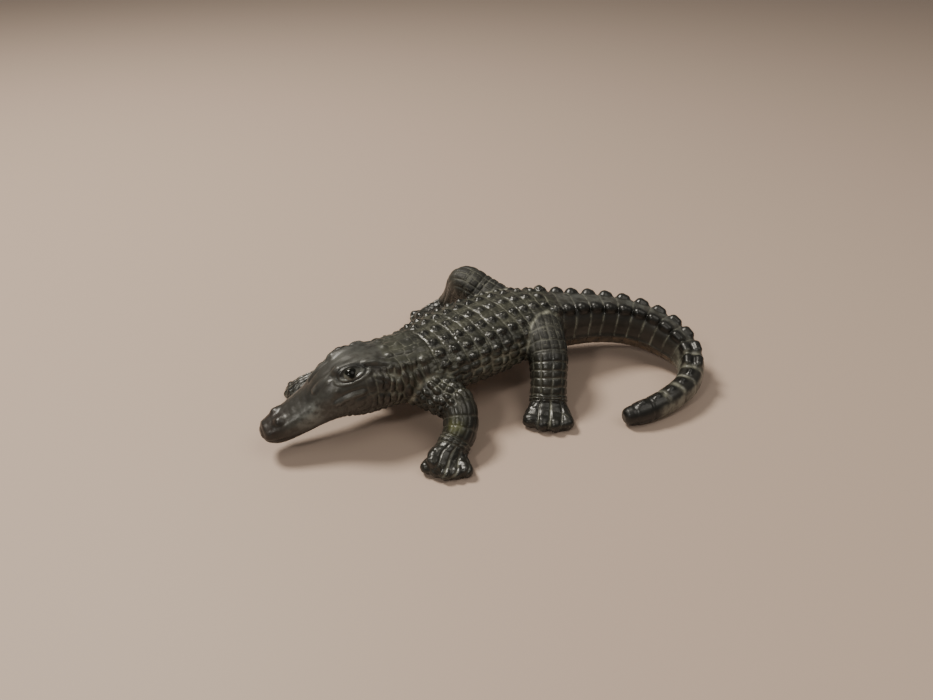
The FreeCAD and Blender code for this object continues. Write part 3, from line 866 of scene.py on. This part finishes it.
# Which node each bit of skin belongs to
def sort_nodes(points, spine_place, limb_places, limb_weights):
    names = sorted(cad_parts)
    number = {name: k for k, name in enumerate(names)}
    owner = np.zeros(len(points), dtype=int)
    s = spine_place[0]
    over_mouth = points[:, 2] > MOUTH_FRONT[1] + MOUTH_SLOPE * (points[:, 0] - MOUTH_FRONT[0])
    over_belly = points[:, 2] > BELLY_TOP
    for span, (first, _) in SPANS.items():
        beyond = s >= (spine.distance_of(first) if first else -9)
        if span.startswith("tail"):
            owner[beyond] = number[span]
        else:
            top, bottom = {"head": ("skull", "lower_jaw"), "neck": ("neck", "throat"),
                           "trunk": ("trunk", "belly")}[span]
            above = over_mouth if span == "head" else over_belly
            owner[beyond & above] = number[top]
            owner[beyond & ~above] = number[bottom]
    for name, tube in limbs.items():
        along = limb_places[name][0]
        mine = limb_weights[name] > 0.5
        upper = along < tube.distance_of(LIMBS[name]["joint"])
        lower = along < tube.distance_of(LIMBS[name]["ankle"])
        part = np.where(upper, number[name + "_upper_leg"],
                        np.where(lower, number[name + "_lower_leg"], number[name + "_foot"]))
        owner[mine] = part[mine]
        beyond = along > tube.length[-1] - TOE_PATCH
        for rod in toes[name]:
            owner[beyond & (np.abs(rod.distance(points)) < TOE_PATCH)] = number[rod.node]
    for rod in scutes + face:
        near = rod.near(points)
        close = (rod.distance(points[near]) < KNOB_PATCH) & (rod.beyond(points[near]) < KNOB_REACH)
        owner[near[close]] = number[rod.node]
    return names, owner


def face_owners(owner, quads):
    """The node that most corners of each face belong to."""
    corner = owner[quads]
    first = corner[:, 0]
    doubled = (first == corner[:, 1]) | (first == corner[:, 2]) | (first == corner[:, 3])
    second = corner[:, 1]
    paired = (second == corner[:, 2]) | (second == corner[:, 3])
    return np.where(doubled, first, np.where(paired, second, corner[:, 2]))


def faces_beside(quads, count):
    """The face across each side of every face of the closed skin."""
    start = quads.ravel()
    end = np.roll(quads, -1, axis=1).ravel()
    forward = start * count + end
    order = np.argsort(forward)
    across = np.searchsorted(forward[order], end * count + start)
    return order[across].reshape(-1, 4) // 4


def without_specks(owners, quads, count):
    """Patches too small to be a piece, handed to the node beside them."""
    beside = faces_beside(quads, count)
    patch = np.arange(len(quads))
    settled = False
    while not settled:
        reached = np.where(owners[beside] == owners[:, None], patch[beside], len(quads))
        lowest = np.minimum(patch, reached.min(axis=1))
        lowest = lowest[lowest]
        settled = np.array_equal(lowest, patch)
        patch = lowest
    stray = np.bincount(patch)[patch] < SPECK / VOXEL ** 2
    while stray.any():
        for side in beside.T:
            ready = stray & ~stray[side]
            owners[ready] = owners[side[ready]]
            stray &= ~ready
    return owners


def open_rim(faces, count):
    """Edges that only one of the faces has, in that face's own direction."""
    edges = np.concatenate([faces[:, [a, (a + 1) % 4]] for a in range(4)])
    forward = edges[:, 0] * count + edges[:, 1]
    backward = edges[:, 1] * count + edges[:, 0]
    return edges[~np.isin(forward, backward)]


def without_pinches(owners, quads, count):
    """Faces handed over until no node touches itself at a single corner."""
    passes = 0
    settled = False
    while passes < PINCH_ROUNDS and not settled:
        settled = True
        passes += 1
        for k in np.unique(owners):
            rim = open_rim(quads[owners == k], count)
            pinched = np.bincount(rim[:, 0], minlength=count) > 1
            if pinched.any():
                owners[pinched[quads].any(axis=1)] = k
                settled = False
    return owners


def split(owners, quads):
    """Each node's stretch of skin as a thin closed shell; inner corners are numbered after outer ones."""
    for k in np.unique(owners):
        used, inverse = np.unique(quads[owners == k], return_inverse=True)
        outside = inverse.reshape(-1, 4)
        rim = open_rim(outside, len(used))
        inside = outside[:, ::-1] + len(used)
        walls = np.column_stack([rim[:, 1], rim[:, 0], rim[:, 0] + len(used), rim[:, 1] + len(used)])
        yield k, used, np.concatenate([outside, inside, walls])


# Pieces
def slot_of(node):
    if node in ("belly", "throat"):
        return "pale_belly"
    if node in ("skull", "lower_jaw") or node.endswith(("_brow", "_nostril")):
        return "head_hide"
    if node.startswith("tail"):
        return "tail_hide"
    if node.startswith(tuple(LIMBS)):
        return "leg_hide"
    return "back_hide"


def new_piece(node, points, faces, normals, masks, slot):
    """A closed piece in the row frame that stands for one CAD node."""
    mesh = bpy.data.meshes.new(node + "_skin")
    mesh.from_pydata((points * MM).tolist(), [], faces)
    mesh.normals_split_custom_set_from_vertices(normals.tolist())
    for mask, values in masks.items():
        attribute = mesh.attributes.new(mask, "FLOAT", "POINT")
        attribute.data.foreach_set("value", values.astype(np.float32))
    mesh.materials.append(paints[slot])
    piece = bpy.data.objects.new(node + "_skin", mesh)
    bpy.context.scene.collection.objects.link(piece)
    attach(piece, "root")
    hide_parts(node)


def skin_relief(points, spine_place, limb_places, limb_weights):
    relief = Relief(len(points))
    s, angle = spine_place[0], spine_place[1]
    on_spine = 1 - sum(limb_weights.values())
    head = on_spine * fade(*head_fade, s)
    head_relief(relief, points, s, angle, head)
    body_relief(relief, points, s, angle, on_spine)
    tail_relief(relief, points, s, angle, on_spine)
    for name in limbs:
        limb_relief(relief, name, points, limb_places[name], limb_weights[name])
        gap = spine_place[2] - limb_places[name][2]
        ahead = -limb_places[name][1] if name.startswith("left") else limb_places[name][1]
        on_limb = np.abs(limb_places[name][2]) < 0.9
        crease = line(gap, CREASE_WIDTH) * on_limb * ease(-70, -20, ahead)
        relief.add(ease(2.5, 4.5, points[:, 2]), -0.14 * crease, 0.95 * crease)
    raised = np.zeros(len(points))
    for rod in scutes:
        near = rod.near(points)
        strength = NAPE_DARKNESS if rod.node == "nape_scutes" else 1.0
        top = strength - strength * ease(0.02, 0.5, rod.distance(points[near]))
        raised[near] = np.maximum(raised[near], top)
    relief.paint("raised", raised)
    return relief


def skin_pieces():
    points, quads = sculpt()
    normals = vertex_normals(points, quads)
    spine_place = spine.locate(points)
    limb_places = {name: tube.locate(points) for name, tube in limbs.items()}
    nearest = np.argmin([place[2] for place in limb_places.values()], axis=0)
    limb_weights = {}
    for k, (name, place) in enumerate(limb_places.items()):
        beside = ease(-LIMB_BLEND, LIMB_BLEND, spine_place[2] - place[2])
        limb_weights[name] = beside * (nearest == k)
    names, owner = sort_nodes(points, spine_place, limb_places, limb_weights)
    relief = skin_relief(points, spine_place, limb_places, limb_weights)
    sculpted = points + normals * (relief.height * ease(*SOLE_FADE, points[:, 2]))[:, None]
    sculpted[:, 2] = np.maximum(sculpted[:, 2], 0)
    normals = vertex_normals(sculpted, quads)
    owners = without_specks(face_owners(owner, quads), quads, len(points))
    owners = without_pinches(owners, quads, len(points))
    for k, used, faces in split(owners, quads):
        outer = sculpted[used]
        outward = normals[used]
        masks = {mask: np.tile(values[used], 2) for mask, values in relief.masks.items()}
        new_piece(names[k], np.concatenate([outer, outer - outward * SHELL]), faces.tolist(),
                  np.concatenate([outward, -outward]), masks, slot_of(names[k]))


def eye_pieces():
    """Glossy eyeballs, each with a soft three-cornered pupil that looks straight out."""
    rows, columns = 24, 48
    for name, sign in (("left", -1), ("right", 1)):
        distance = spine.distance_of(EYE_STATION)
        centre, outward, along = spine.skin_point(distance, sign * EYE_ANGLE, EYE_SINK)
        up = np.cross(along, outward) * sign
        polar, turn = np.meshgrid(np.linspace(0, math.pi, rows + 1)[1:-1],
                                  np.linspace(0, 2 * math.pi, columns, endpoint=False), indexing="ij")
        x = (np.sin(polar) * np.cos(turn)).ravel()
        y = (np.sin(polar) * np.sin(turn)).ravel()
        z = np.cos(polar).ravel()
        x, y, z = (np.append(values, ends) for values, ends in ((x, (0, 0)), (y, (0, 0)), (z, (1, -1))))
        points = centre + EYE_RADIUS * (x[:, None] * along + y[:, None] * up + z[:, None] * outward)
        faces = []
        for row in range(rows - 2):
            for column in range(columns):
                a = row * columns + column
                b = row * columns + (column + 1) % columns
                faces.append((a, b, b + columns, a + columns))
        top = (rows - 1) * columns
        low = (rows - 2) * columns
        for column in range(columns):
            after = (column + 1) % columns
            faces.append((after, column, top))
            faces.append((low + column, low + after, top + 1))
        corner = 1 + PUPIL_CORNERS * np.cos(3 * (np.arctan2(y, x) - math.pi / 2))
        pupil = fade(*PUPIL_EDGE, np.hypot(x, y) * corner)
        masks = {"pupil": np.where(z > 0, pupil, 0)}
        new_piece(name + "_eye", points, [face[::-1] for face in faces] if sign < 0 else faces,
                  (points - centre) / EYE_RADIUS, masks, "eye_paint")


# Materials
class Paint:
    """Node tree builder for one painted vinyl finish."""

    def __init__(self, name):
        self.material = bpy.data.materials.new(name)
        self.material.use_nodes = True
        self.tree = self.material.node_tree
        self.shader = self.tree.nodes["Principled BSDF"]
        self.place = self.tree.nodes.new("ShaderNodeTexCoord").outputs["Object"]

    def noise(self, scale, detail=3.0):
        node = self.tree.nodes.new("ShaderNodeTexNoise")
        node.inputs["Scale"].default_value = scale
        node.inputs["Detail"].default_value = detail
        self.tree.links.new(self.place, node.inputs["Vector"])
        return node.outputs["Fac"]

    def mask(self, name):
        node = self.tree.nodes.new("ShaderNodeAttribute")
        node.attribute_name = name
        return node.outputs["Fac"]

    def remap(self, value, low, high, out_low=0.0, out_high=1.0):
        node = self.tree.nodes.new("ShaderNodeMapRange")
        limits = {"From Min": low, "From Max": high, "To Min": out_low, "To Max": out_high}
        for socket, number in limits.items():
            node.inputs[socket].default_value = number
        self.tree.links.new(value, node.inputs["Value"])
        return node.outputs["Result"]

    def combine(self, a, b, operation="MULTIPLY"):
        node = self.tree.nodes.new("ShaderNodeMath")
        node.operation = operation
        self.feed(node.inputs[0], a)
        self.feed(node.inputs[1], b)
        return node.outputs[0]

    def mix(self, amount, a, b):
        node = self.tree.nodes.new("ShaderNodeMix")
        node.data_type = "RGBA"
        self.feed(node.inputs[0], amount)
        self.feed(node.inputs[6], a)
        self.feed(node.inputs[7], b)
        return node.outputs[2]

    def feed(self, socket, value):
        if isinstance(value, bpy.types.NodeSocket):
            self.tree.links.new(value, socket)
        elif isinstance(value, tuple):
            socket.default_value = value + (1.0,)
        else:
            socket.default_value = value

    def bump(self, height, strength, distance):
        node = self.tree.nodes.new("ShaderNodeBump")
        node.inputs["Strength"].default_value = strength
        node.inputs["Distance"].default_value = distance
        self.tree.links.new(height, node.inputs["Height"])
        self.tree.links.new(node.outputs["Normal"], self.shader.inputs["Normal"])


def hide_paint(slot):
    """Semi-gloss vinyl: mottled dark body, wiped pale wash in the grooves, worn and tinted patches, and
    painted sheen, highlights and shade from the masks.
    """
    body, second, smooth, rough = HIDES[slot]
    paint = Paint(slot)
    broad = paint.remap(paint.noise(240.0, 4.0), 0.36, 0.64)
    mottle = paint.remap(paint.noise(1300.0), 0.35, 0.7)
    wiped = paint.remap(paint.noise(800.0, 4.0), 0.36, 0.60, 0.2, 1.0)
    colour = paint.mix(broad, body, second)
    colour = paint.mix(paint.combine(mottle, 0.30), colour, BLACK)
    for mask, tint, strength in TINTS:
        colour = paint.mix(paint.combine(paint.combine(paint.mask(mask), strength), wiped), colour, tint)
    colour = paint.mix(paint.combine(paint.mask("raised"), 0.85), colour, BLACK)
    colour = paint.mix(paint.combine(paint.mask("dark"), 0.85), colour, BLACK)
    colour = paint.mix(paint.combine(paint.mask("wash"), wiped), colour, WASH)
    paint.feed(paint.shader.inputs["Base Color"], colour)
    gloss = paint.remap(paint.noise(650.0), 0.3, 0.7, smooth, rough)
    dulled = paint.combine(paint.mask("matte"), 0.30)
    paint.feed(paint.shader.inputs["Roughness"], paint.combine(gloss, dulled, "ADD"))
    paint.bump(paint.noise(3600.0), 0.25, 0.00005)
    return paint.material


def eye_paint():
    paint = Paint("eye_paint")
    streaks = paint.remap(paint.noise(2600.0), 0.35, 0.65)
    iris = paint.mix(streaks, IRIS[0], IRIS[1])
    paint.feed(paint.shader.inputs["Base Color"], paint.mix(paint.mask("pupil"), iris, BLACK))
    paint.feed(paint.shader.inputs["Roughness"], paint.remap(paint.noise(900.0), 0.3, 0.7, 0.12, 0.20))
    paint.shader.inputs["Specular IOR Level"].default_value = 0.22
    return paint.material


# The scene
def from_angles(azimuth, elevation):
    flat = math.cos(math.radians(elevation))
    return Vector((math.cos(math.radians(azimuth)) * flat, math.sin(math.radians(azimuth)) * flat,
                   math.sin(math.radians(elevation))))


def aim(item, azimuth, elevation, distance):
    """Puts a camera or light on that bearing from the view's middle, looking at it."""
    bpy.context.scene.collection.objects.link(item)
    direction = from_angles(azimuth, elevation)
    turn = direction.to_track_quat("Z", "Y").to_matrix().to_4x4()
    item.matrix_world = Matrix.Translation(VIEW_MIDDLE + direction * distance) @ turn


def add_camera():
    data = bpy.data.cameras.new("camera")
    data.lens = CAMERA_LENS
    data.sensor_width = 36.0
    data.clip_start = 0.001
    camera = bpy.data.objects.new("camera", data)
    aim(camera, CAMERA_AZIMUTH, CAMERA_ELEVATION, CAMERA_DISTANCE)
    bpy.context.scene.camera = camera


def add_light(name, azimuth, elevation, distance, size, power, colour):
    data = bpy.data.lights.new(name, "AREA")
    data.shape = "DISK"
    data.size = size
    data.energy = power
    data.color = colour
    aim(bpy.data.objects.new(name, data), azimuth, elevation, distance)


def add_floor():
    mesh = bpy.data.meshes.new("floor")
    corners = [(x * FLOOR_HALF, y * FLOOR_HALF, 0) for x, y in ((-1, -1), (1, -1), (1, 1), (-1, 1))]
    mesh.from_pydata(corners, [], [(0, 1, 2, 3)])
    material = bpy.data.materials.new("floor")
    material.use_nodes = True
    shader = material.node_tree.nodes["Principled BSDF"]
    shader.inputs["Base Color"].default_value = FLOOR_COLOUR + (1.0,)
    shader.inputs["Roughness"].default_value = FLOOR_ROUGHNESS
    mesh.materials.append(material)
    floor = bpy.data.objects.new("floor", mesh)
    bpy.context.scene.collection.objects.link(floor)


def add_world():
    world = bpy.data.worlds.new("studio")
    world.use_nodes = True
    background = world.node_tree.nodes["Background"]
    background.inputs["Color"].default_value = WORLD_COLOUR + (1.0,)
    background.inputs["Strength"].default_value = WORLD_STRENGTH
    bpy.context.scene.world = world


paints = {slot: hide_paint(slot) for slot in HIDES}
paints["eye_paint"] = eye_paint()
add_camera()
for light in LIGHTS:
    add_light(*light)
add_floor()
add_world()
skin_pieces()
eye_pieces()
